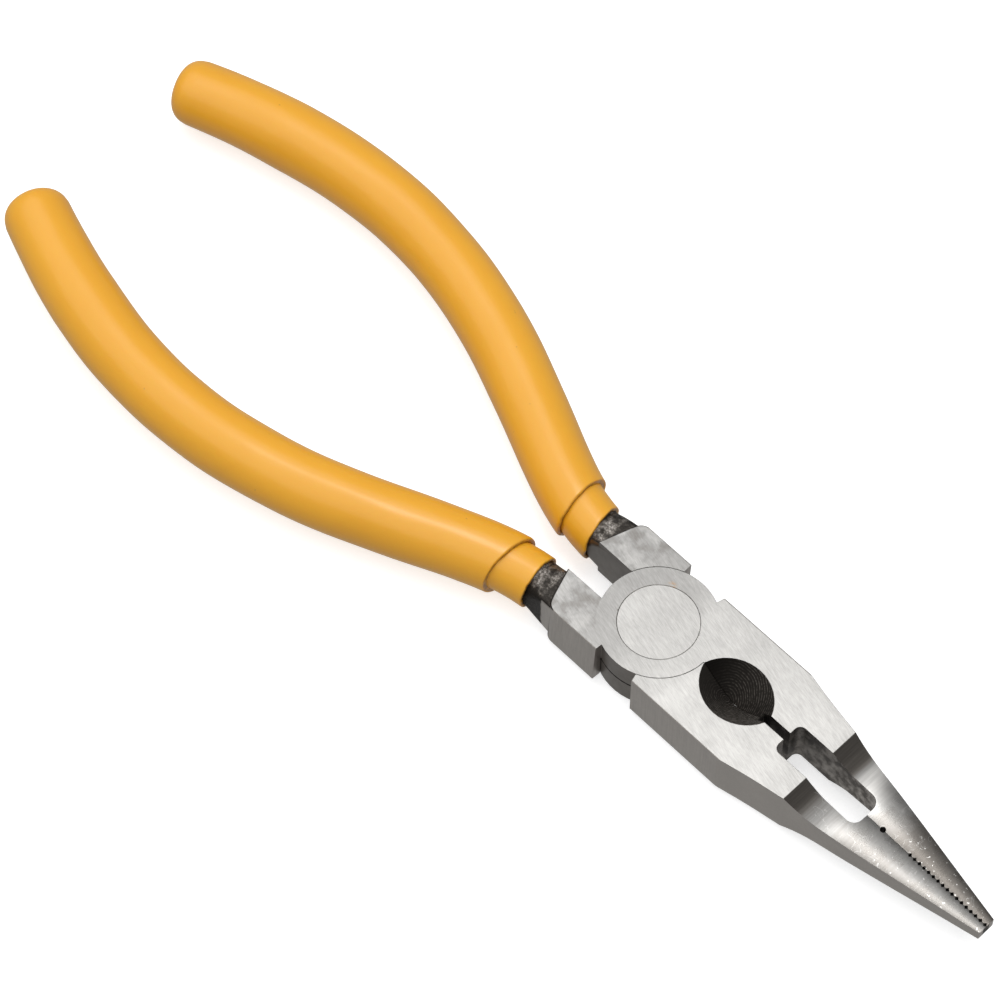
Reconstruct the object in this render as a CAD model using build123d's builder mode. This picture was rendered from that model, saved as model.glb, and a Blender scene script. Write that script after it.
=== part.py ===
from build123d import *

import os

# Needle nose pliers with a lap joint, a crimping pocket and double-dipped vinyl grips.
#
# Frame: +X runs from the pivot to the nose tip, +Z is the pivot axis, and the origin is on that axis
# at the underside of the head. The jaws are closed. The right half carries the handle on the -Y side
# and the jaw on the +Y side, and its lap is the upper one. The left half is the same forging turned
# over about the X axis, so it has the lower lap. Units are millimetres.

# Head and lap joint
HEAD_THICKNESS = 9.8
MID = HEAD_THICKNESS / 2
HEAD_HALF_WIDTH = 10.65
LAP_RADIUS = 10.0
LAP_RECESS_RADIUS = 10.08
FACE_GAP = 0.04          # running gap between the two halves, across the lap and along the seam
HALF_GAP = FACE_GAP / 2
SHOULDER_X = 4.4         # rear corner of each jaw
SHOULDER_FOOT = (4.0, 9.1)       # where the shoulder's face enters the lap
STEP_X = -3.6            # front corner of each wing, where the jaw of the other half stops
STEP_FOOT = (-3.5, -9.2)         # where the step's face enters the lap
WING_REAR_X = -14.4      # outer rear corner of the wing
WING_END_X = -17.0       # inner rear corner of the wing
WING_INNER_Y = 3.5
WING_FLARE = 0.55        # the wing is this much wider at its far face than at the one that carries the lap
WING_REAR_ROUND = 2.0
EDGE_CHAMFER = 0.18      # on the outer edges of the flat faces
LAP_CHAMFER = 0.14       # round the meeting edges of the two laps
CROTCH = (-9.3, -3.45)   # where the inner side of the wing meets the lap
WING_IN_LAP = [(-2.0, -5.0), (-5.0, -2.0)]   # hidden corners of the wing, inside the lap

# Rivet
RIVET_RADIUS = 4.0
RIVET_HEAD_RADIUS = 6.75
RIVET_HEAD_STRAIGHT = 0.6
RIVET_HEAD_DEPTH = 2.6
RIVET_CLEARANCE = 0.04
RIVET_RIM_CHAMFER = 0.1  # leaves a hairline ring round the flush head

# Nose
TAPER_X = 23.3           # the sides run parallel up to here
FLAT_END_X = 35.4        # the flat faces of the head end here
RAMP_END_X = 43.5        # the hollow-ground ramp runs out here
RAMP_END_HEIGHT = 2.62   # half thickness at the end of the ramp
RAMP_RADIUS = 17.0
TIP_X = 71.2
TIP_HALF_WIDTH = 1.65
SIDE_POINTS = [(57.0, 0.1), (44.0, 0.1), (FLAT_END_X, -0.15)]   # x, and bulge out of the straight side
NOSE_SECTIONS = [        # x, half width and half thickness at the edges
    (36.0, 8.3, 3.05),
    (TIP_X + 0.5, 1.6, 1.04),
]
NOSE_OVERLAP = 0.1       # the crowned section reaches this far past the seam and the side
CROWN_SHARE = 0.11       # rise of each jaw's rounded back, as a share of its half width

# Wire cutter: one countersink per jaw on each face, whose edges meet at the seam
CUTTER_X = 17.3
CUTTER_OFFSET = 2.1
CUTTER_FACE_RADIUS = 7.45
CUTTER_EDGE_RADIUS = 2.1

# Slot, crimping pocket and stripping hole along the seam
SLOT_START_X = 23.2
SLOT_HALF_WIDTH = 0.77
POCKET_START_X = 28.3
POCKET_END_X = 45.8
POCKET_HALF_WIDTH = 3.05
POCKET_START_ROUND = 1.2
POCKET_END_ROUND = 1.7
STRIP_HOLE_X = 49.2
STRIP_HOLE_RADIUS = 0.5

# Serrations across the gripping faces
TOOTH_COUNT = 17
TOOTH_PITCH = 0.99
TOOTH_START_X = 55.0
TOOTH_DEPTH = 0.36

# Neck: as forged, from the ground wing down to the round tang
NECK_SECTIONS = [        # x, y of the centre, width, height, corner radius
    (-12.0, -7.12, 7.05, 9.4, 0.6),
    (-16.0, -6.95, 7.0, 9.1, 1.0),
    (-18.2, -6.9, 7.3, 8.8, 2.2),
    (-19.8, -6.8, 8.24, 8.24, 4.0),
]

# Handles: one smooth centre line from the wing to the butt, for the right half
HANDLE_LINE = [
    (-13.0, -7.1), (-20.5, -6.9), (-34.8, -11.3), (-53.7, -19.45),
    (-72.0, -24.9), (-90.0, -26.65), (-110.0, -24.25), (-133.4, -17.0),
]
TANG_RADII = [(0.0, 4.15), (0.06, 4.15), (0.13, 3.95), (0.3, 3.7), (0.6, 3.5), (0.94, 3.0)]
LINER_RADII = [(0.0, 4.85), (0.13, 4.75), (0.3, 4.7), (0.6, 4.6), (0.965, 4.2)]
TANG_START, TANG_END = 0.054, 0.94   # along the centre line, from 0 at the wing to 1 at the butt
LINER_END = 0.965
SLEEVE_START = 0.03                  # sleeves are drawn from here, then trimmed at their dip line
RIGHT_LINER_LINE = (-20.2, 7)        # where each dip line crosses the handle, and its tilt in degrees
LEFT_LINER_LINE = (-19.6, -10)
RIGHT_COVER_LINE = (-25.8, -3)
LEFT_COVER_LINE = (-25.2, -4)
COVER_RADII = [(0.0, 5.45), (0.16, 5.75), (0.35, 5.9), (0.58, 5.95), (0.82, 6.2), (1.0, 5.75)]
BUTT_ROUND = 2.9


def nose_half_width(x):
    """Half width of the nose at x, on the straight taper from the head to the tip."""
    share = (x - TAPER_X) / (TIP_X - TAPER_X)
    return HEAD_HALF_WIDTH + share * (TIP_HALF_WIDTH - HEAD_HALF_WIDTH)


def handle_path():
    """The centre line of the right handle, at mid height."""
    with BuildLine(Plane.XY.offset(MID)) as path:
        Spline(*HANDLE_LINE)
    return path.wires()[0]


def radius_at(table, share):
    """Radius from a (share, radius) list, on straight lines between its entries."""
    for (s0, r0), (s1, r1) in zip(table, table[1:]):
        if share <= s1:
            return r0 + (r1 - r0) * (share - s0) / (s1 - s0)
    return table[-1][1]


def rod(table, start, end, sections=9):
    """A smooth round bar along the handle's centre line, between two shares of its length."""
    path = handle_path()
    with BuildPart() as bar:
        for i in range(sections):
            share = start + (end - start) * i / (sections - 1)
            with BuildSketch(Plane(origin=path @ share, z_dir=path % share)):
                Circle(radius_at(table, share))
        loft()
    return bar.part


def outer_edges(block):
    """The edges along the parallel outer side of a block, on its top and bottom faces."""
    return block.edges().filter_by(Axis.X).filter_by(lambda e: abs(e.center().Y) > HEAD_HALF_WIDTH - 0.01)


def jaw_block():
    """The jaw at full thickness, in plan, from inside the lap to the tip."""
    with BuildPart() as jaw:
        with BuildSketch(Plane.XY):
            with BuildLine():
                seam_start = (SHOULDER_FOOT[0], HALF_GAP)
                seam_end = (TIP_X, HALF_GAP)
                Line(seam_start, seam_end)
                Line(seam_end, (TIP_X, TIP_HALF_WIDTH))
                side = [(x, nose_half_width(x) + bulge) for x, bulge in SIDE_POINTS]
                Spline((TIP_X, TIP_HALF_WIDTH), *side, (TAPER_X, HEAD_HALF_WIDTH))
                Polyline(
                    (TAPER_X, HEAD_HALF_WIDTH),
                    (SHOULDER_X, HEAD_HALF_WIDTH),
                    SHOULDER_FOOT,
                    seam_start,
                )
            make_face()
        extrude(amount=HEAD_THICKNESS)
        chamfer(outer_edges(jaw), EDGE_CHAMFER)
    return jaw.part


def jaw_envelope():
    """Everything between the upper and lower ground faces: flat head, hollow ramp, crowned nose."""
    width = HEAD_HALF_WIDTH + 2
    with BuildPart() as envelope:
        # Side view of the head with its hollow-ground ramps, the same all across
        ramp_top = (RAMP_END_X, MID + RAMP_END_HEIGHT)
        ramp_bottom = (RAMP_END_X, MID - RAMP_END_HEIGHT)
        with BuildSketch(Plane.XZ.offset(-width)):
            with BuildLine():
                Polyline((FLAT_END_X, 0), (0, 0), (0, HEAD_THICKNESS), (FLAT_END_X, HEAD_THICKNESS))
                RadiusArc((FLAT_END_X, HEAD_THICKNESS), ramp_top, -RAMP_RADIUS)
                Line(ramp_top, ramp_bottom)
                RadiusArc(ramp_bottom, (FLAT_END_X, 0), -RAMP_RADIUS)
            make_face()
        extrude(amount=2 * width)
        # Nose with a rounded back on each jaw, straight from the ramp to the tip
        for x, half_width, edge in NOSE_SECTIONS:
            half = half_width / 2
            rise = CROWN_SHARE * half
            with BuildSketch(Plane.YZ.offset(x)):
                with BuildLine():
                    ThreePointArc((-NOSE_OVERLAP, MID + edge), (half, MID + edge + rise),
                                  (half_width + NOSE_OVERLAP, MID + edge))
                    ThreePointArc((-NOSE_OVERLAP, MID - edge), (half, MID - edge - rise),
                                  (half_width + NOSE_OVERLAP, MID - edge))
                    Line((-NOSE_OVERLAP, MID + edge), (-NOSE_OVERLAP, MID - edge))
                    Line((half_width + NOSE_OVERLAP, MID + edge), (half_width + NOSE_OVERLAP, MID - edge))
                make_face()
        loft(ruled=True)
    return envelope.part


def wing_block():
    """The shoulder between the lap and the handle, at full thickness and flared toward its far face."""
    with BuildPart() as wing:
        for z, flare in ((0, WING_FLARE), (HEAD_THICKNESS, 0)):
            with BuildSketch(Plane.XY.offset(z)) as outline:
                with BuildLine():
                    Polyline(
                        (WING_END_X, -WING_INNER_Y),
                        (WING_REAR_X, -HEAD_HALF_WIDTH - flare),
                        (STEP_X, -HEAD_HALF_WIDTH - flare),
                        STEP_FOOT,
                        *WING_IN_LAP,
                        CROTCH,
                        (WING_END_X, -WING_INNER_Y),
                    )
                make_face()
                fillet(outline.vertices().sort_by(Axis.Y)[0:2].sort_by(Axis.X)[0], WING_REAR_ROUND)
        loft(ruled=True)
        chamfer(outer_edges(wing), EDGE_CHAMFER)
    return wing.part


def neck_block():
    """The forged neck, from the full section of the wing down to the round tang."""
    with BuildPart() as neck:
        for x, y, width, height, corner in NECK_SECTIONS:
            with BuildSketch(Plane(origin=(x, y, MID), x_dir=(0, 1, 0), z_dir=(-1, 0, 0))):
                RectangleRounded(width, height, corner)
        loft()
    return neck.part


def forging(bore_clearance):
    """One half of the pliers in steel: tang, wing, lap and jaw in one piece."""
    with BuildPart() as half:
        # Jaw, ground to the envelope
        add(jaw_block())
        add(jaw_envelope(), mode=Mode.INTERSECT)
        # Wing and tang
        add(wing_block())
        add(neck_block())
        add(rod(TANG_RADII, TANG_START, TANG_END))
        # Clear the lower layer for the other half's lap, and add this half's lap above it
        with BuildSketch(Plane.XY):
            Circle(LAP_RECESS_RADIUS)
        extrude(amount=MID + HALF_GAP, mode=Mode.SUBTRACT)
        with BuildSketch(Plane.XY.offset(MID + HALF_GAP)):
            Circle(LAP_RADIUS)
        extrude(amount=MID - HALF_GAP)
        with BuildSketch(Plane.XZ):
            with BuildLine():
                Polyline(
                    (LAP_RADIUS - LAP_CHAMFER, MID + HALF_GAP),
                    (LAP_RADIUS, MID + HALF_GAP),
                    (LAP_RADIUS, MID + HALF_GAP + LAP_CHAMFER),
                    (LAP_RADIUS - LAP_CHAMFER, MID + HALF_GAP),
                )
            make_face()
        revolve(axis=Axis.Z, mode=Mode.SUBTRACT)
        # Rivet bore, countersunk for the flush head
        with BuildSketch(Plane.XZ):
            with BuildLine():
                Polyline(*rivet_profile(bore_clearance, MID, HEAD_THICKNESS + 1))
            make_face()
        revolve(axis=Axis.Z, mode=Mode.SUBTRACT)
        # Wire cutter: the countersinks from both faces meet in an edge at mid height
        with BuildSketch(Plane.XZ.offset(CUTTER_OFFSET)):
            with BuildLine():
                Polyline(
                    (CUTTER_X, 0),
                    (CUTTER_X + CUTTER_FACE_RADIUS, 0),
                    (CUTTER_X + CUTTER_EDGE_RADIUS, MID),
                    (CUTTER_X + CUTTER_FACE_RADIUS, HEAD_THICKNESS),
                    (CUTTER_X, HEAD_THICKNESS),
                    (CUTTER_X, 0),
                )
            make_face()
        revolve(axis=Axis((CUTTER_X, -CUTTER_OFFSET, 0), (0, 0, 1)), mode=Mode.SUBTRACT)
        # Relief slot and crimping pocket, straight through
        with BuildSketch(Plane.XY):
            with Locations(((SLOT_START_X + POCKET_START_X) / 2, 0)):
                Rectangle(POCKET_START_X - SLOT_START_X + 1, 2 * SLOT_HALF_WIDTH)
        extrude(amount=HEAD_THICKNESS, mode=Mode.SUBTRACT)
        with BuildSketch(Plane.XY) as pocket:
            with Locations(((POCKET_START_X + POCKET_END_X) / 2, 0)):
                Rectangle(POCKET_END_X - POCKET_START_X, 2 * POCKET_HALF_WIDTH)
            fillet(pocket.vertices().group_by(Axis.X)[0], POCKET_START_ROUND)
            fillet(pocket.vertices().group_by(Axis.X)[-1], POCKET_END_ROUND)
        extrude(amount=HEAD_THICKNESS, mode=Mode.SUBTRACT)
        # Stripping hole and serrations
        with BuildSketch(Plane.XY):
            with Locations((STRIP_HOLE_X, 0)):
                Circle(STRIP_HOLE_RADIUS)
            for i in range(TOOTH_COUNT):
                with Locations((TOOTH_START_X + i * TOOTH_PITCH, 0)):
                    RegularPolygon(TOOTH_DEPTH + HALF_GAP, 4)
        extrude(amount=HEAD_THICKNESS, mode=Mode.SUBTRACT)
    return half.part


def rivet_profile(clearance, bottom, top):
    """Half section of the rivet (x = radius) from bottom up to its flush upper head."""
    shank = RIVET_RADIUS + clearance
    head = RIVET_HEAD_RADIUS + clearance
    head_low = HEAD_THICKNESS - RIVET_HEAD_STRAIGHT
    return [
        (0, bottom),
        (shank, bottom),
        (shank, HEAD_THICKNESS - RIVET_HEAD_DEPTH),
        (head, head_low),
        (head, top - RIVET_RIM_CHAMFER),
        (head - RIVET_RIM_CHAMFER, top),
        (0, top),
        (0, bottom),
    ]


def turned_over(part):
    """The same piece turned over about the X axis at mid height, for the left half."""
    return part.rotate(Axis((0, 0, MID), (1, 0, 0)), 180)


def dip_plane(line):
    """The upright plane of a dip line, facing the head."""
    x, tilt = line
    return Plane(origin=(x, HANDLE_LINE[1][1], 0), z_dir=Vector(1, 0, 0).rotate(Axis.Z, tilt))


def liner(line):
    """Inner dip layer: a thin sleeve on the tang that shows as a collar at the front."""
    with BuildPart() as sleeve:
        add(rod(LINER_RADII, SLEEVE_START, LINER_END))
        split(bisect_by=dip_plane(line), keep=Keep.BOTTOM)
        add(neck_block(), mode=Mode.SUBTRACT)
        add(rod(TANG_RADII, TANG_START, TANG_END), mode=Mode.SUBTRACT)
    return sleeve.part


def cover(line):
    """Outer dip layer: the thick cushion over the liner, with a rounded butt."""
    with BuildPart() as sleeve:
        add(rod(COVER_RADII, SLEEVE_START, 1.0))
        butt = sleeve.faces().sort_by(Axis.X)[0]
        fillet(butt.edges(), BUTT_ROUND)
        split(bisect_by=dip_plane(line), keep=Keep.BOTTOM)
        add(rod(LINER_RADII, SLEEVE_START, LINER_END), mode=Mode.SUBTRACT)
    return sleeve.part


with BuildPart() as right_forging:
    add(forging(bore_clearance=0.0))

with BuildPart() as left_forging:
    add(turned_over(forging(bore_clearance=RIVET_CLEARANCE)))

with BuildPart() as pivot_rivet:
    with BuildSketch(Plane.XZ):
        with BuildLine():
            Polyline(*rivet_profile(0.0, MID, HEAD_THICKNESS))
        make_face()
    revolve(axis=Axis.Z)
    mirror(about=Plane.XY.offset(MID))

with BuildPart() as right_grip_liner:
    add(liner(RIGHT_LINER_LINE))

with BuildPart() as left_grip_liner:
    add(turned_over(liner(LEFT_LINER_LINE)))

with BuildPart() as right_grip_cover:
    add(cover(RIGHT_COVER_LINE))

with BuildPart() as left_grip_cover:
    add(turned_over(cover(LEFT_COVER_LINE)))

right_forging.part.label = "right_forging"
left_forging.part.label = "left_forging"
pivot_rivet.part.label = "pivot_rivet"
right_grip_liner.part.label = "right_grip_liner"
left_grip_liner.part.label = "left_grip_liner"
right_grip_cover.part.label = "right_grip_cover"
left_grip_cover.part.label = "left_grip_cover"

os.makedirs("parts", exist_ok=True)
export_step(right_forging.part, "parts/right_forging.step")
export_step(left_forging.part, "parts/left_forging.step")
export_step(pivot_rivet.part, "parts/pivot_rivet.step")
export_step(right_grip_liner.part, "parts/right_grip_liner.step")
export_step(left_grip_liner.part, "parts/left_grip_liner.step")
export_step(right_grip_cover.part, "parts/right_grip_cover.step")
export_step(left_grip_cover.part, "parts/left_grip_cover.step")
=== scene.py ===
"""Looks of the needle nose pliers: ground and as-forged steel, and double-dipped vinyl grips.

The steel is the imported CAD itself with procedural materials. The four vinyl layers are replaced
by swept skins with soft rims and a rounded butt. Lengths are in metres unless a name ends in _MM.
"""

import math

import bmesh
import bpy
import numpy as np
from mathutils import Matrix, Vector, noise


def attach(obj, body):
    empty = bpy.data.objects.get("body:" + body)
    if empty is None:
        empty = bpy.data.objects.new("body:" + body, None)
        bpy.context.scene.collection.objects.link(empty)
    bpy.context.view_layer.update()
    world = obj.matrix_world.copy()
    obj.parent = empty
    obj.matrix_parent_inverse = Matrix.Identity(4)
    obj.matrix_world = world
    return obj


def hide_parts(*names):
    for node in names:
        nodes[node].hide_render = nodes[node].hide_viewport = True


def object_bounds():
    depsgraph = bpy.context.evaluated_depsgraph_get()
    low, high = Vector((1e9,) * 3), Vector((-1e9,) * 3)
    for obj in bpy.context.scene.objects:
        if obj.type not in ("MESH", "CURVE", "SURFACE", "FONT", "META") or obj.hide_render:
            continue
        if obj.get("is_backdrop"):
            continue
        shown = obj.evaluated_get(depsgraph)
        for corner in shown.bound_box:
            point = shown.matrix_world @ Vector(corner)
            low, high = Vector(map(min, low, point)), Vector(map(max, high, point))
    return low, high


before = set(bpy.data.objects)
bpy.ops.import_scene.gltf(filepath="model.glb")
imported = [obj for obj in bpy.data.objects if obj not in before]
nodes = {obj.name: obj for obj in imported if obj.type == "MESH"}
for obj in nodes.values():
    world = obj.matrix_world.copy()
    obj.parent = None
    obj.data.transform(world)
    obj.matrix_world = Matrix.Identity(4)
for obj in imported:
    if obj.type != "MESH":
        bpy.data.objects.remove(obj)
cad_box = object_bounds()

MM = 0.001
MID_MM = 4.9                 # mid height of the head
FLAT_END_MM = 35.4           # the ground flats end here, along X
CUTTER_MM = (17.3, 2.1)      # countersink axis: x, and how far across the seam
CUTTER_RADIUS_MM = 7.45
RING_PITCH_MM = 0.36         # of the turned rings in the countersink
RIVET_RADIUS_MM = 6.75
LAP_RADIUS_MM = 10.0
POCKET_HALF_WIDTH_MM = 3.1
POCKET_END_MM = 46.1
TEETH_HALF_DEPTH_MM = 0.7
TAPER_MM = (15.03, 0.188)    # the nose's outer edge: its y carried back to x = 0, and its fall per mm of x

# Steel brightness
FLAT_TONES = (0.27, 0.25, 0.35)      # wing's rear, wing's front, jaws
RIVET_TONE = 0.345
SIDE_TONE = 0.45
JOINT_SHADE_TONE = 0.19
RAMP_TONES = (0.07, 0.23, 0.42)      # painted shade at its steep start, and painted light at its end in front of and behind the seam
NOSE_LEAN = 0.20                     # steepest sideways slope of the nose's rounded backs
NOSE_TONES = (0.165, 0.235)          # painted lit tone of the flank that faces -Y, towards the light, and painted shade on the other flank
RECESS_TONES = (0.012, 0.038, 0.11)  # rear, front, and how much a ring adds
WALL_SHADE_TONES = (0.09, 0.38)
NECK_TONES = (0.03, 0.46)            # scale, and flecks with their painted highlight
PARTING_TONE = 0.02
RING_TONE = 0.10                     # hairline round the rivet
RUST = (0.30, 0.17, 0.07, 1)

# ---------------------------------------------------------------- camera
CAMERA_AZIMUTH = math.radians(45.69)
CAMERA_ELEVATION = math.radians(60.72)
CAMERA_LOCATION = (0.19766, -0.22833, 0.58627)
CAMERA_LENS = 146.7


def add_camera():
    """A long lens from in front, to the right and above, level with the horizon."""
    a, e = CAMERA_AZIMUTH, CAMERA_ELEVATION
    right = Vector((math.cos(a), math.sin(a), 0))
    back = Vector((math.sin(a) * math.cos(e), -math.cos(a) * math.cos(e), math.sin(e)))
    turn = Matrix((right, back.cross(right), back)).transposed()
    data = bpy.data.cameras.new("camera")
    data.lens = CAMERA_LENS
    data.sensor_width = 36
    data.clip_start, data.clip_end = 0.01, 20
    camera = bpy.data.objects.new("camera", data)
    bpy.context.scene.collection.objects.link(camera)
    camera.matrix_world = Matrix.Translation(CAMERA_LOCATION) @ turn.to_4x4()
    bpy.context.scene.camera = camera


# ---------------------------------------------------------------- shader helper
class Shader:
    """A material with one Principled shader, and short calls for the nodes that feed it."""

    def __init__(self, name, **settings):
        self.material = bpy.data.materials.new(name)
        self.material.use_nodes = True
        self.tree = self.material.node_tree
        self.bsdf = next(n for n in self.tree.nodes if n.type == "BSDF_PRINCIPLED")
        for socket, value in settings.items():
            self.bsdf.inputs[socket.replace("_", " ")].default_value = value
        place = self.add("ShaderNodeTexCoord")
        self.point = self.scaled(place.outputs["Object"], (1000, 1000, 1000))
        self.x, self.y, self.z = self.split(self.point)
        self.nx, self.ny, self.nz = self.split(place.outputs["Normal"])
        self.level = self.math("ABSOLUTE", self.nz)
        self.across = self.math("ABSOLUTE", self.y)

    def add(self, kind, inputs=None, **props):
        node = self.tree.nodes.new(kind)
        for key, value in props.items():
            setattr(node, key, value)
        for key, value in (inputs or {}).items():
            self.feed(node.inputs[key], value)
        return node

    def feed(self, socket, value):
        if isinstance(value, bpy.types.NodeSocket):
            self.tree.links.new(value, socket)
        else:
            socket.default_value = value

    def split(self, vector):
        return self.add("ShaderNodeSeparateXYZ", {0: vector}).outputs

    def scaled(self, vector, factors, turn=0.0):
        """The vector turned about Z by some degrees, then scaled per axis."""
        if turn:
            turned = self.add("ShaderNodeVectorRotate", {"Vector": vector, "Angle": math.radians(turn)})
            vector = turned.outputs[0]
        node = self.add("ShaderNodeVectorMath", {0: vector, 1: factors}, operation="MULTIPLY")
        return node.outputs[0]

    def math(self, operation, a, b=0.0, clamp=False):
        node = self.add("ShaderNodeMath", {0: a, 1: b}, operation=operation, use_clamp=clamp)
        return node.outputs[0]

    def times(self, *values):
        product = values[0]
        for value in values[1:]:
            product = self.math("MULTIPLY", product, value)
        return product

    def inverse(self, share):
        return self.math("SUBTRACT", 1.0, share)

    def ramp(self, value, low, high, start=0.0, end=1.0):
        """Smooth change from start to end while value goes from low to high (low may be the larger)."""
        if low > high:
            low, high, start, end = high, low, end, start
        node = self.add(
            "ShaderNodeMapRange",
            {"Value": value, "From Min": low, "From Max": high, "To Min": start, "To Max": end},
            interpolation_type="SMOOTHSTEP",
        )
        return node.outputs["Result"]

    def noise(self, vector, scale, detail=3.0, roughness=0.55, distortion=0.0):
        node = self.add(
            "ShaderNodeTexNoise",
            {"Vector": vector, "Scale": scale, "Detail": detail, "Roughness": roughness,
             "Distortion": distortion},
        )
        return node.outputs["Fac"]

    def lerp(self, share, a, b):
        node = self.add("ShaderNodeMix", {"Factor": share, "A": a, "B": b}, data_type="FLOAT")
        return node.outputs["Result"]

    def mix(self, share, a, b):
        node = self.add("ShaderNodeMix", data_type="RGBA")
        self.feed(node.inputs["Factor"], share)
        self.feed(node.inputs[6], a)
        self.feed(node.inputs[7], b)
        return node.outputs[2]

    def steel_colour(self, tone, clean=1.0):
        """A steel grey with a slight warm cast, stronger where it is dark or less clean."""
        light = self.math("MULTIPLY", self.ramp(tone, 0.0, 0.45), clean, clamp=True)
        green = self.math("MULTIPLY", tone, self.lerp(light, 0.90, 0.98))
        blue = self.math("MULTIPLY", tone, self.lerp(light, 0.80, 0.945))
        return self.add("ShaderNodeCombineColor", {"Red": tone, "Green": green, "Blue": blue}).outputs[0]

    def radius(self, x, y, across=False):
        """Distance from an upright axis at x, y. With across, both sides of the seam count alike."""
        dx = self.math("SUBTRACT", self.x, x)
        dy = self.math("SUBTRACT", self.across if across else self.y, y)
        square = self.math("ADD", self.math("MULTIPLY", dx, dx), self.math("MULTIPLY", dy, dy))
        return self.math("SQRT", square)

    def soft_edges(self):
        """The surface normal with corners rounded off by a tenth of a millimetre."""
        return self.add("ShaderNodeBevel", {"Radius": 0.12 * MM}, samples=4).outputs[0]

    def turned_to_world(self, x, y, z):
        """A normal given in the piece's own axes, as the shader wants it."""
        own = self.add("ShaderNodeCombineXYZ", {0: x, 1: y, 2: z}).outputs[0]
        world = self.add("ShaderNodeVectorTransform", {0: own}, vector_type="NORMAL", convert_from="OBJECT",
                         convert_to="WORLD").outputs[0]
        return self.add("ShaderNodeVectorMath", {0: world}, operation="NORMALIZE").outputs[0]

    def mix_vectors(self, share, a, b):
        node = self.add("ShaderNodeMix", data_type="VECTOR")
        self.feed(node.inputs["Factor"], share)
        self.feed(node.inputs[4], a)
        self.feed(node.inputs[5], b)
        return node.outputs[1]

    def bump(self, height, distance_mm, strength=1.0, normal=None):
        inputs = {"Height": height, "Distance": distance_mm * MM, "Strength": strength}
        if normal is not None:
            inputs["Normal"] = normal
        return self.add("ShaderNodeBump", inputs).outputs[0]


def steel_streaks(s):
    """Short fine scratches left by grinding, and broad soft bands between them."""
    fine = s.noise(s.scaled(s.point, (0.75, 9.5, 0.5), turn=13), 1.0, 4, 0.65)
    wide = s.noise(s.scaled(s.point, (0.30, 2.4, 0.2), turn=13), 1.0, 3, 0.6)
    return fine, wide


def ground(s, tone, fine_streaks, wide_streaks, patches):
    """A ground flat's tone with its streaks and soft patches."""
    tone = s.math("MULTIPLY", tone, s.ramp(fine_streaks, 0.25, 0.75, 0.84, 1.14))
    tone = s.math("MULTIPLY", tone, s.ramp(wide_streaks, 0.25, 0.75, 0.91, 1.09))
    return s.math("MULTIPLY", tone, s.ramp(patches, 0.3, 0.7, 0.93, 1.06))


class ForgedShader(Shader):
    """The forging's shader, with the masks and noises that its regions share."""

    def __init__(self):
        super().__init__("forged_steel", Metallic=1.0)
        p, x, y = self.point, self.x, self.y
        self.fine_streaks, self.wide_streaks = steel_streaks(self)
        self.belt = self.noise(self.scaled(p, (3.4, 3.4, 0.10)), 1.0, 3, 0.6)
        self.cross = self.noise(self.scaled(p, (3.2, 0.14, 0.4)), 1.0, 3, 0.6)
        self.cloud = self.noise(p, 0.16, 3, 0.5)
        self.smudge = self.noise(p, 0.45, 4, 0.6, 0.6)
        self.fine = self.noise(p, 2.2, 4, 0.6)

        off_mid = self.math("SUBTRACT", self.z, MID_MM)
        self.outward = self.math("SIGN", off_mid)      # 1 above mid height, -1 below
        self.height_off_mid = self.math("ABSOLUTE", off_mid)
        # -1 on faces that look at the seam, 1 on faces that look away from it
        self.off_seam = self.math("MULTIPLY", self.ny, self.math("SIGN", y))
        self.far_jaw = self.ramp(y, -0.5, 0.5)
        self.belt_share = self.times(self.ramp(x, 26.0, 20.0), 0.5)

        self.upright = self.ramp(self.level, 0.62, 0.5)
        self.flat = self.times(self.ramp(self.height_off_mid, MID_MM - 0.03, MID_MM - 0.01),
                               self.ramp(self.level, 0.96, 0.99))
        self.slope = self.times(self.ramp(x, FLAT_END_MM - 0.12, FLAT_END_MM + 0.05),
                                self.ramp(self.upright, 0.6, 0.3))
        inner = self.times(self.upright, self.ramp(self.across, 10.3, 10.2), self.ramp(x, 4.2, 4.05),
                           self.ramp(x, -21.0, -20.0))
        to_seam = self.ramp(self.off_seam, -0.3, -0.6)
        self.inner = self.math("MULTIPLY", inner, self.math("MAXIMUM", self.ramp(x, -10.5, -9.5), to_seam))

        # Sideways slope of the nose's rounded backs, from one edge of a jaw to the other
        half_width = self.math("SUBTRACT", TAPER_MM[0], self.math("MULTIPLY", x, TAPER_MM[1]))
        jaw_share = self.math("DIVIDE", self.across, half_width)
        lean_out = self.math("SUBTRACT", self.math("MULTIPLY", jaw_share, 2.0), 1.0)
        self.lean = self.times(lean_out, self.math("SIGN", y), self.ramp(x, 37.0, 46.0, 0.0, NOSE_LEAN))


def flat_tone(s):
    """Ground flats: darker and smudged towards the neck, brighter and clean from the pivot forward."""
    tone = s.math("ADD", s.ramp(s.x, -18.0, -9.0, FLAT_TONES[0], FLAT_TONES[1]),
                  s.ramp(s.x, -3.0, 9.0, 0.0, FLAT_TONES[2] - FLAT_TONES[1]))
    tone = ground(s, tone, s.fine_streaks, s.wide_streaks, s.cloud)
    off_disc = s.inverse(s.ramp(s.radius(0, 0), 10.2, 9.9))
    worn = s.times(s.ramp(s.x, -4.0, -10.0), off_disc)
    smudges = s.ramp(s.noise(s.point, 0.30, 4, 0.6), 0.34, 0.64, 0.72, 1.16)
    return s.math("MULTIPLY", tone, s.lerp(worn, 1.0, smudges))


def side_tone(s):
    """Sides: evenly mid grey, with the belt's upright streaks from the wing to the taper."""
    tone = s.math("MULTIPLY", SIDE_TONE, s.lerp(s.belt_share, 1.0, s.lerp(s.belt, 0.62, 1.38)))
    tone = s.math("MULTIPLY", tone, s.lerp(s.cloud, 0.9, 1.1))
    return s.math("MULTIPLY", tone, s.lerp(s.fine, 0.9, 1.1))


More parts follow.
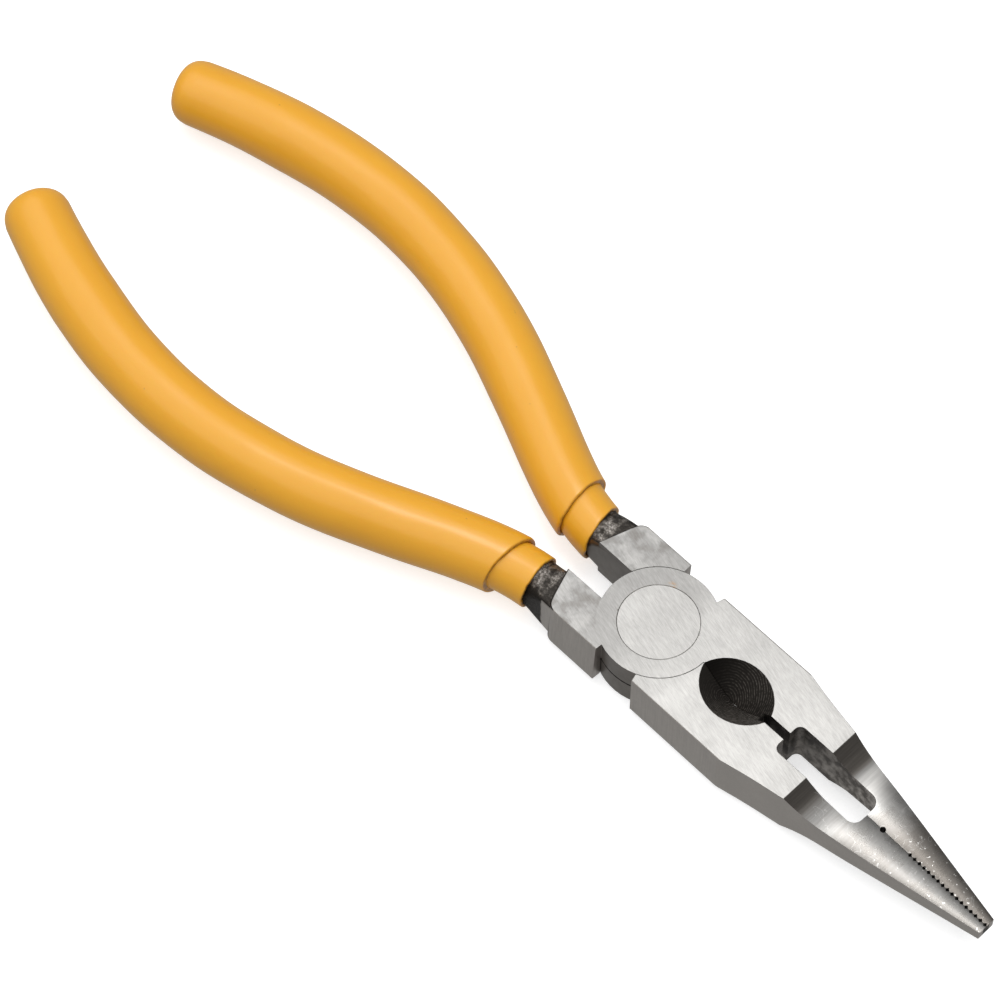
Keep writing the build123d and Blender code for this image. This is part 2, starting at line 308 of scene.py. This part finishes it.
def ramp_tone(s):
    """Ramp: painted shade where the grinding wheel left it steepest, then painted light out to the nose.

    The jaw in front of the seam brightens sooner but is painted darker, in shade.
    """
    brighten = s.ramp(s.math("ADD", s.x, s.lerp(s.far_jaw, 1.6, 0.0)), 39.0, 41.8)
    tone = s.lerp(brighten, RAMP_TONES[0], s.lerp(s.far_jaw, RAMP_TONES[1], RAMP_TONES[2]))
    return s.math("MULTIPLY", tone, s.lerp(s.cross, 0.66, 1.34))


def nose_tone(s):
    """Nose: painted light and shade on the two flanks of each jaw's rounded back, painted shade on the far
    jaw towards the tip, and painted glints near the tip.
    """
    flank = s.ramp(s.lean, -NOSE_LEAN, 0.6 * NOSE_LEAN)
    tone = s.lerp(flank, NOSE_TONES[0], NOSE_TONES[1])
    tone = s.math("MULTIPLY", tone, s.lerp(s.times(s.far_jaw, s.ramp(s.x, 48.0, 56.0)), 1.0, 0.50))
    tone = s.math("MULTIPLY", tone, s.lerp(s.smudge, 0.74, 1.24))
    tone = s.math("MULTIPLY", tone, s.lerp(s.cross, 0.86, 1.14))
    glints = s.times(s.ramp(s.noise(s.point, 1.9, 2, 0.6), 0.66, 0.72), s.ramp(s.x, 47.0, 60.0), 0.7)
    return s.lerp(glints, tone, 0.70)


def slope_tone(s):
    """Ramp and nose together, with a few long hair scratches."""
    tone = s.lerp(s.ramp(s.x, 42.5, 48.0), ramp_tone(s), nose_tone(s))
    contour = s.math("ABSOLUTE", s.math("SUBTRACT", s.noise(s.point, 0.30, 2, 0.5, 1.2), 0.5))
    stretches = s.ramp(s.noise(s.point, 0.21, 1, 0.5), 0.5, 0.6)
    return s.lerp(s.times(s.ramp(contour, 0.006, 0.001), stretches, 0.45), tone, 0.55)


def joint_tone(s):
    """Joint faces and the inner sides of the wings: dark with painted shade between the two halves, painted
    lighter where they face the nose.
    """
    tone = s.math("MULTIPLY", s.lerp(s.cloud, 0.8, 1.2), s.lerp(s.smudge, 0.72, 1.3))
    return s.times(tone, JOINT_SHADE_TONE, s.ramp(s.nx, 0.3, 0.8, 1.0, 1.9))


def parting_line(s):
    """Mask of the line where the two laps meet on the disc's edge."""
    edge = s.ramp(s.math("ABSOLUTE", s.math("SUBTRACT", s.radius(0, 0), LAP_RADIUS_MM)), 0.25, 0.18)
    return s.times(edge, s.ramp(s.height_off_mid, 0.24, 0.17))


def recess_look(s):
    """Cutter recess: mask, tone and rings. It is black, the turned rings show towards the nose, and walls
    that face +Y are painted lighter, a painted lit side.
    """
    cone = s.radius(CUTTER_MM[0], -CUTTER_MM[1], across=True)
    mask = s.times(s.ramp(cone, CUTTER_RADIUS_MM + 0.02, CUTTER_RADIUS_MM - 0.02), s.ramp(s.level, 0.95, 0.9))
    centre = s.radius(CUTTER_MM[0] - 1.5, -0.5)
    wander = s.math("MULTIPLY", s.noise(s.point, 0.35, 2, 0.5), 0.6)
    rings = s.math("SINE", s.math("MULTIPLY", s.math("ADD", centre, wander), 2 * math.pi / RING_PITCH_MM))
    light = s.times(s.ramp(rings, 0.0, 1.0), s.ramp(s.x, 11.0, 20.0), s.ramp(s.fine, 0.35, 0.65))
    tone = s.math("ADD", s.ramp(s.x, 10.0, 23.0, RECESS_TONES[0], RECESS_TONES[1]),
                  s.math("MULTIPLY", light, RECESS_TONES[2]))
    return mask, s.math("MULTIPLY", tone, s.ramp(s.ny, -0.2, 0.3, 1.0, 3.4)), rings


def wall_look(s, recess):
    """Slot, pocket, stripping hole and teeth: mask, and a dark tone with blotches, painted shade on walls
    facing each other across the seam, darkest between the teeth.
    """
    before, beyond = POCKET_END_MM, POCKET_END_MM + 0.1
    pocket = s.times(s.ramp(s.across, POCKET_HALF_WIDTH_MM + 0.05, POCKET_HALF_WIDTH_MM),
                     s.ramp(s.x, beyond, before))
    teeth = s.times(s.ramp(s.across, TEETH_HALF_DEPTH_MM + 0.02, TEETH_HALF_DEPTH_MM - 0.02),
                    s.ramp(s.x, before, beyond))
    near_seam = s.times(s.math("ADD", pocket, teeth), s.ramp(s.x, 22.0, 22.4), s.upright)
    mask = s.math("SUBTRACT", near_seam, s.times(near_seam, recess), clamp=True)
    blotch = s.noise(s.scaled(s.point, (0.45, 0.45, 0.35)), 1.0, 5, 0.65)
    tone = s.lerp(s.ramp(blotch, 0.38, 0.66), WALL_SHADE_TONES[0], WALL_SHADE_TONES[1])
    tone = s.math("MULTIPLY", tone, s.ramp(s.x, 29.0, 42.0, 0.75, 1.6))
    return mask, s.math("MULTIPLY", tone, s.ramp(s.x, 47.0, 46.0, 0.2, 1.0))


def neck_look(s):
    """Neck as forged: mask, tone and flecks. Black scale, with clusters of glossy flecks on its crown,
    painted brighter where it faces up: a painted highlight.
    """
    ground_side = s.times(s.ramp(s.math("ADD", s.x, s.math("MULTIPLY", s.smudge, 1.5)), -15.6, -15.2),
                          s.ramp(s.off_seam, 0.75, 0.95))
    mask = s.times(s.ramp(s.x, -13.0, -13.6), s.inverse(s.flat), s.inverse(s.inner), s.inverse(ground_side))
    crown = s.ramp(s.math("MULTIPLY", s.nz, s.outward), 0.5, 0.92)
    fleck = s.ramp(s.noise(s.point, 2.2, 5, 0.75, 0.3), 0.42, 0.66)
    patch = s.times(s.ramp(s.noise(s.point, 0.42, 2, 0.5), 0.36, 0.55), s.ramp(s.x, -16.2, -17.4))
    light = s.times(s.lerp(fleck, 0.22, 1.0), crown, s.lerp(patch, 0.08, 1.0))
    return mask, s.lerp(light, NECK_TONES[0], NECK_TONES[1]), fleck


def forged_normal(s):
    """Corners rounded off, and on ramp and nose one smooth normal over the faces that make them up."""
    downhill = s.ramp(s.x, FLAT_END_MM, 44.5, 0.52, 0.06)
    smooth = s.turned_to_world(downhill, s.lean, s.outward)
    return s.mix_vectors(s.times(s.slope, s.ramp(s.level, 0.72, 0.8)), s.soft_edges(), smooth)


def forged_steel():
    """Ground flats and ramps, polished nose, brushed sides, dark recesses and a neck left as forged."""
    s = ForgedShader()
    recess, recess_tone, rings = recess_look(s)
    wall, wall_tone = wall_look(s, recess)
    neck, neck_tone, fleck = neck_look(s)

    tone = s.lerp(s.flat, side_tone(s), flat_tone(s))
    tone = s.lerp(s.slope, tone, slope_tone(s))
    tone = s.lerp(s.inner, tone, joint_tone(s))
    tone = s.lerp(parting_line(s), tone, PARTING_TONE)
    tone = s.lerp(recess, tone, recess_tone)
    tone = s.lerp(wall, tone, wall_tone)
    tone = s.lerp(neck, tone, neck_tone)
    tone = s.lerp(s.times(s.flat, rivet_ring(s)), tone, RING_TONE)
    colour = s.steel_colour(tone, s.lerp(s.math("MAXIMUM", s.flat, s.slope), 0.45, 2.0))
    rust = s.times(s.ramp(s.radius(-3.1, 6.1), 1.1, 0.3), s.ramp(s.fine, 0.42, 0.55), s.flat, 0.6)
    s.feed(s.bsdf.inputs["Base Color"], s.mix(rust, colour, RUST))

    polish = s.times(s.slope, s.ramp(s.x, 40.0, 47.0))
    rough = s.lerp(polish, s.lerp(s.fine_streaks, 0.30, 0.44), s.lerp(s.smudge, 0.22, 0.34))
    rough = s.lerp(s.math("MAXIMUM", recess, wall), rough, 0.5)
    rough = s.lerp(neck, rough, s.lerp(fleck, 0.55, 0.32))
    s.feed(s.bsdf.inputs["Roughness"], rough)

    height = s.lerp(s.flat, s.lerp(s.belt_share, 0.5, s.belt), s.fine_streaks)
    height = s.lerp(s.slope, height, s.lerp(s.ramp(s.x, 44.0, 48.0), s.cross, s.fine))
    height = s.lerp(recess, height, rings)
    normal = s.bump(height, 0.004, normal=forged_normal(s))
    normal = s.bump(s.times(neck, s.noise(s.point, 1.6, 6, 0.70, 0.5)), 0.16, normal=normal)
    s.feed(s.bsdf.inputs["Normal"], normal)
    return s.material


def rivet_ring(s):
    """The hairline between rivet and head: faint, stronger in places, with a few nicks beside it."""
    around = s.radius(0, 0)
    off_line = s.math("ABSOLUTE", s.math("SUBTRACT", around, RIVET_RADIUS_MM))
    line = s.ramp(off_line, 0.10, 0.03)
    wear = s.ramp(s.noise(s.point, 0.28, 3, 0.6), 0.40, 0.64, 0.05, 0.55)
    nick = s.times(s.ramp(off_line, 0.30, 0.10), s.ramp(s.noise(s.point, 0.8, 3, 0.6), 0.62, 0.70))
    return s.math("MAXIMUM", s.times(line, wear), s.times(nick, 0.7))


def rivet_steel():
    """The rivet is ground flush with the head, so it carries the same streaks inside its ring."""
    s = Shader("rivet_steel", Metallic=1.0)
    fine_streaks, wide_streaks = steel_streaks(s)
    tone = ground(s, RIVET_TONE, fine_streaks, wide_streaks, s.noise(s.point, 0.16, 3, 0.5))
    tone = s.lerp(rivet_ring(s), tone, RING_TONE)
    tone = s.math("MULTIPLY", tone, s.ramp(s.level, 0.98, 0.9, 1.0, 1.5))
    s.feed(s.bsdf.inputs["Base Color"], s.steel_colour(tone, 1.6))
    s.feed(s.bsdf.inputs["Roughness"], s.lerp(fine_streaks, 0.32, 0.46))
    s.feed(s.bsdf.inputs["Normal"], s.bump(fine_streaks, 0.004))
    return s.material


def vinyl(name, roughness):
    """Satin orange-yellow dipped vinyl, faintly uneven, with a few specks."""
    s = Shader(name, Subsurface_Weight=0.12, Subsurface_Scale=0.0015, Specular_IOR_Level=0.5,
               Coat_Weight=0.34, Coat_Roughness=0.2)
    s.bsdf.inputs["Subsurface Radius"].default_value = (1.0, 0.45, 0.12)
    cloud = s.noise(s.point, 0.07, 3, 0.5)
    grain = s.noise(s.point, 1.8, 3, 0.6)
    base = s.mix(cloud, (0.765, 0.352, 0.012, 1), (0.815, 0.391, 0.018, 1))
    specks = s.ramp(s.noise(s.point, 0.85, 2, 0.4), 0.765, 0.80)
    base = s.mix(s.times(specks, 0.5), base, (0.42, 0.19, 0.03, 1))
    # Each layer's lip turns brown: partly its ragged dipped edge, partly painted shade in the crevice where
    # the layer ends.
    rim = s.add("ShaderNodeAttribute", attribute_name="rim").outputs["Fac"]
    rim = s.times(s.ramp(rim, 0.35, 0.9), s.ramp(s.noise(s.point, 1.6, 3, 0.6), 0.3, 0.6, 0.4, 1.0))
    base = s.mix(s.times(rim, 0.75), base, (0.20, 0.085, 0.015, 1))
    s.feed(s.bsdf.inputs["Base Color"], base)
    s.feed(s.bsdf.inputs["Roughness"], s.lerp(grain, roughness - 0.04, roughness + 0.05))
    normal = s.bump(grain, 0.008)
    normal = s.bump(s.noise(s.point, 0.22, 2, 0.5), 0.08, normal=normal)
    s.feed(s.bsdf.inputs["Normal"], normal)
    return s.material


# ---------------------------------------------------------------- grips
# The handle's centre line and the radii of each layer, as the CAD has them, in millimetres
HANDLE_LINE = [
    (-13.0, -7.1), (-20.5, -6.9), (-34.8, -11.3), (-53.7, -19.45),
    (-72.0, -24.9), (-90.0, -26.65), (-110.0, -24.25), (-133.4, -17.0),
]
TANG_RADII = [(0.0, 4.15), (0.06, 4.15), (0.13, 3.95), (0.3, 3.7), (0.6, 3.5), (0.94, 3.0)]
LINER_RADII = [(0.0, 4.85), (0.13, 4.75), (0.3, 4.7), (0.6, 4.6), (0.965, 4.2)]
COVER_RADII = [(0.0, 5.45), (0.16, 5.75), (0.35, 5.9), (0.58, 5.95), (0.82, 6.2), (1.0, 5.75)]
TANG_END, LINER_END = 0.94, 0.965      # shares of the line's length
SEGMENTS = 96
RING_STEP_MM = 0.9
COVER_LIP_MM = 0.4
LINER_LIP_MM = 0.3
SWELL_MM = 0.12              # how far the vinyl's thickness wanders
DIP_FADE_MM = 3.0            # behind the lip, the dip line's tilt has faded out after this much
BUTT_MM = 3.6                # length of the rounded butt
DIP_LINES = {  # node: x where the dip line crosses the handle, its tilt in degrees, body
    "right_grip_liner": (-20.2, 7, "right_half"),
    "left_grip_liner": (-19.6, -10, "left_half"),
    "right_grip_cover": (-25.8, -3, "right_half"),
    "left_grip_cover": (-25.2, -4, "left_half"),
}


class Line:
    """A smooth curve through plan points, read by distance along it."""

    def __init__(self, points):
        q = np.array(points, float)
        t = np.concatenate([[0], np.cumsum(np.linalg.norm(np.diff(q, axis=0), axis=1))])
        n, h = len(q), np.diff(t)
        slope = np.diff(q, axis=0) / h[:, None]
        a, b = np.zeros((n, n)), np.zeros_like(q)
        a[0, :2], b[0] = (2 * h[0], h[0]), 6 * (slope[0] - self.end_slope(t[:4], q[:4], t[0]))
        a[-1, -2:], b[-1] = (h[-1], 2 * h[-1]), 6 * (self.end_slope(t[-4:], q[-4:], t[-1]) - slope[-1])
        for i in range(1, n - 1):
            a[i, i - 1:i + 2] = h[i - 1], 2 * (h[i - 1] + h[i]), h[i]
            b[i] = 6 * (slope[i] - slope[i - 1])
        m = np.linalg.solve(a, b)
        u = np.linspace(0, t[-1], 4000)
        i = np.clip(np.searchsorted(t, u, side="right") - 1, 0, n - 2)
        before, after, step = (t[i + 1] - u)[:, None], (u - t[i])[:, None], h[i][:, None]
        self.points = (
            (m[i] * before**3 + m[i + 1] * after**3) / (6 * step)
            + (q[i] / step - m[i] * step / 6) * before
            + (q[i + 1] / step - m[i + 1] * step / 6) * after
        )
        self.run = np.concatenate([[0], np.cumsum(np.linalg.norm(np.diff(self.points, axis=0), axis=1))])
        self.length = self.run[-1]

    @staticmethod
    def end_slope(t, q, at):
        """Slope, at one of them, of the cubic through four points."""
        cubic = np.polyfit(t - at, q, 3)
        return cubic[2]

    def at(self, distance):
        inside = min(max(distance, 0.0), self.length)
        point = np.array([np.interp(inside, self.run, self.points[:, k]) for k in (0, 1)])
        return point + (distance - inside) * self.direction(inside)

    def direction(self, distance):
        i = int(np.clip(np.searchsorted(self.run, distance), 1, len(self.run) - 2))
        d = self.points[i + 1] - self.points[i - 1]
        return d / np.linalg.norm(d)

    def crossing(self, x):
        """Distance at which the line passes x."""
        return float(np.interp(-x, -self.points[:, 0], self.run))


LINE = Line(HANDLE_LINE)


def radius_at(table, share):
    return float(np.interp(share, [s for s, _ in table], [r for _, r in table]))


def swept_skin(name, side, profile, ragged, fade_from, tilt):
    """A closed skin swept round the handle's line.

    side is 1 for the right handle and -1 for the left, which is the right one turned over. profile
    lists (distance, radius, rim), where rim marks the lip for the material. Close behind fade_from,
    rings lean to the dip line's tilt and their edge wanders by about ragged mm.
    """
    verts, faces, rims = [], [], []
    lean = -math.tan(math.radians(tilt))
    for distance, radius, rim in profile:
        centre, along = LINE.at(distance), LINE.direction(distance)
        sideways = np.array([-along[1], along[0]])
        near = max(0.0, 1 - max(0.0, distance - fade_from) / DIP_FADE_MM) ** 2
        dip_lean = lean + along[1] / along[0]
        for k in range(SEGMENTS):
            turn = 2 * math.pi * k / SEGMENTS
            c, s = math.cos(turn), math.sin(turn)
            probe = Vector((distance / 11, c * 0.9 + side * 7, s * 0.9))
            swell = SWELL_MM * noise.noise(probe) * min(1.0, radius / 4)
            lip = noise.noise(Vector((c * 2.2, s * 2.2, side * 5 + ragged * 30)))
            lip += 0.6 * noise.noise(Vector((c * 6.5, s * 6.5, side * 9 + ragged * 30)))
            r = radius + swell
            shift = near * (ragged * lip + dip_lean * r * c)
            point = centre + along * shift + sideways * r * c
            z = r * s
            verts.append((point[0] * MM, side * point[1] * MM, (MID_MM + side * z) * MM))
            rims.append(rim)
    count = len(profile)
    for i in range(count - 1):
        for k in range(SEGMENTS):
            a, b = i * SEGMENTS + k, i * SEGMENTS + (k + 1) % SEGMENTS
            faces.append((a, b, b + SEGMENTS, a + SEGMENTS))
    faces.append(tuple(range(SEGMENTS)))
    faces.append(tuple(range((count - 1) * SEGMENTS, count * SEGMENTS)))
    mesh = bpy.data.meshes.new(name)
    mesh.from_pydata(verts, [], faces)
    rim_layer = mesh.attributes.new("rim", "FLOAT", "POINT")
    rim_layer.data.foreach_set("value", rims)
    work = bmesh.new()
    work.from_mesh(mesh)
    bmesh.ops.recalc_face_normals(work, faces=work.faces)
    work.to_mesh(mesh)
    work.free()
    mesh.shade_smooth()
    skin = bpy.data.objects.new(name, mesh)
    bpy.context.scene.collection.objects.link(skin)
    return skin


def cover_rings(start):
    """Profile of a thick outer layer: bore, lip, side and rounded butt."""
    length = LINE.length

    def bore(distance):
        return radius_at(LINER_RADII, distance / length) + 0.01

    def outer(distance):
        return radius_at(COVER_RADII, distance / length)

    rings = bore_rings(length * LINER_END, start, bore)
    rings += lip_rings(start, bore(start), outer(start), COVER_LIP_MM)
    rings += side_rings(start + 1.0, length - BUTT_MM, outer)
    for k in range(1, 13):
        turn = math.pi / 2 * k / 12.6
        reach = math.sin(turn)
        radius = outer(length) * max(math.cos(turn), 0.0) ** 0.55
        rings.append((length - BUTT_MM + BUTT_MM * reach, radius, 0.0))
    rings.append((length + 0.02, 0.35, 0.0))
    return rings


def liner_rings(start):
    """Profile of a thin inner layer: bore, lip, side and the end that the cover hides."""
    length = LINE.length

    def bore(distance):
        return radius_at(TANG_RADII, distance / length) + 0.02

    def outer(distance):
        return radius_at(LINER_RADII, distance / length) - 0.01

    rings = bore_rings(length * TANG_END, start, bore)
    rings += lip_rings(start, bore(start), outer(start), LINER_LIP_MM)
    rings += side_rings(start + 1.0, length * LINER_END - 0.4, outer)
    rings.append((length * LINER_END - 0.1, outer(length * LINER_END) - 0.3, 0.0))
    rings.append((length * LINER_END - 0.05, 0.3, 0.0))
    return rings


def bore_rings(deep, start, bore):
    """The inside of a sleeve, from its closed end forward to just behind the lip."""
    rings = [(deep, 0.3, 0.0), (deep - 0.05, bore(deep) - 0.3, 0.0)]
    for distance in np.linspace(deep - 0.4, start + 2.5, 34):
        rings.append((float(distance), bore(distance), 0.0))
    rings += [(start + 1.2, bore(start + 1.2), 0.5), (start + 0.35, bore(start + 0.35), 1.0)]
    return rings


def lip_rings(start, bore, outer, lip):
    """The front edge: a narrow flat, then a soft round up to the outside."""
    rings = [(start + 0.08, bore + 0.01, 1.0), (start, bore + 0.08, 1.0)]
    for k in range(7):
        turn = math.pi / 2 * k / 6
        rings.append((start + lip * (1 - math.cos(turn)), outer - lip * (1 - math.sin(turn)), 0.9 - 0.12 * k))
    rings.append((start + lip + 0.35, outer, 0.0))
    return rings


def side_rings(start, end, outer):
    count = int((end - start) / RING_STEP_MM)
    return [(float(d), outer(d), 0.0) for d in np.linspace(start, end, count)]


def add_grips():
    skins = {"cover": vinyl("cover_vinyl", 0.40), "liner": vinyl("liner_vinyl", 0.44)}
    for node, (x, tilt, body) in DIP_LINES.items():
        side = 1 if node.startswith("right") else -1
        layer = node.split("_")[-1]
        start = LINE.crossing(x)
        rings = cover_rings(start) if layer == "cover" else liner_rings(start)
        ragged = 0.10 if layer == "cover" else 0.2
        skin = swept_skin(node + "_skin", side, rings, ragged, start, tilt)
        skin.data.materials.append(skins[layer])
        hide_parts(node)
        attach(skin, body)


def add_steel():
    """The CAD's own steel pieces get their materials."""
    steel = forged_steel()
    for name, material in (("right_forging", steel), ("left_forging", steel), ("pivot_rivet", rivet_steel())):
        nodes[name].data.materials.clear()
        nodes[name].data.materials.append(material)


# ---------------------------------------------------------------- stage
FLOOR_HALF_WIDTH = 4.0


def add_floor(height):
    """A white floor, partly lit by itself so shadows on it stay faint. It throws no light back up."""
    s = Shader("floor", Roughness=0.9, Base_Color=(0.7, 0.7, 0.7, 1), Emission_Color=(1, 1, 1, 1),
               Emission_Strength=0.60)
    mesh = bpy.data.meshes.new("floor")
    signs = ((-1, -1), (1, -1), (1, 1), (-1, 1))
    corners = [(a * FLOOR_HALF_WIDTH, b * FLOOR_HALF_WIDTH, height) for a, b in signs]
    mesh.from_pydata(corners, [], [(0, 1, 2, 3)])
    mesh.materials.append(s.material)
    floor = bpy.data.objects.new("floor", mesh)
    bpy.context.scene.collection.objects.link(floor)
    floor.visible_diffuse = floor.visible_glossy = False
    floor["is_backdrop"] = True


def area_light(name, location, target, size, power):
    data = bpy.data.lights.new(name, "AREA")
    data.shape = "RECTANGLE"
    data.size, data.size_y = size
    data.energy = power
    light = bpy.data.objects.new(name, data)
    light.location = location
    light.rotation_euler = (Vector(target) - Vector(location)).to_track_quat("-Z", "Y").to_euler()
    bpy.context.scene.collection.objects.link(light)


def add_lights():
    area_light("overhead", (-0.5, -0.42, 1.3), (-0.5, -0.42, 0), (2.8, 2.5), 22)
    area_light("key", (-0.22, 0.16, 1.2), (-0.03, 0, 0), (0.36, 0.36), 3.4)
    world = bpy.data.worlds.new("world")
    world.use_nodes = True
    background = world.node_tree.nodes["Background"]
    background.inputs["Color"].default_value = (1, 1, 1, 1)
    background.inputs["Strength"].default_value = 0.42
    bpy.context.scene.world = world
    bpy.context.scene.view_settings.view_transform = "Standard"


add_camera()
add_steel()
add_grips()
add_floor(min(cad_box[0].z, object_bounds()[0].z))
add_lights()
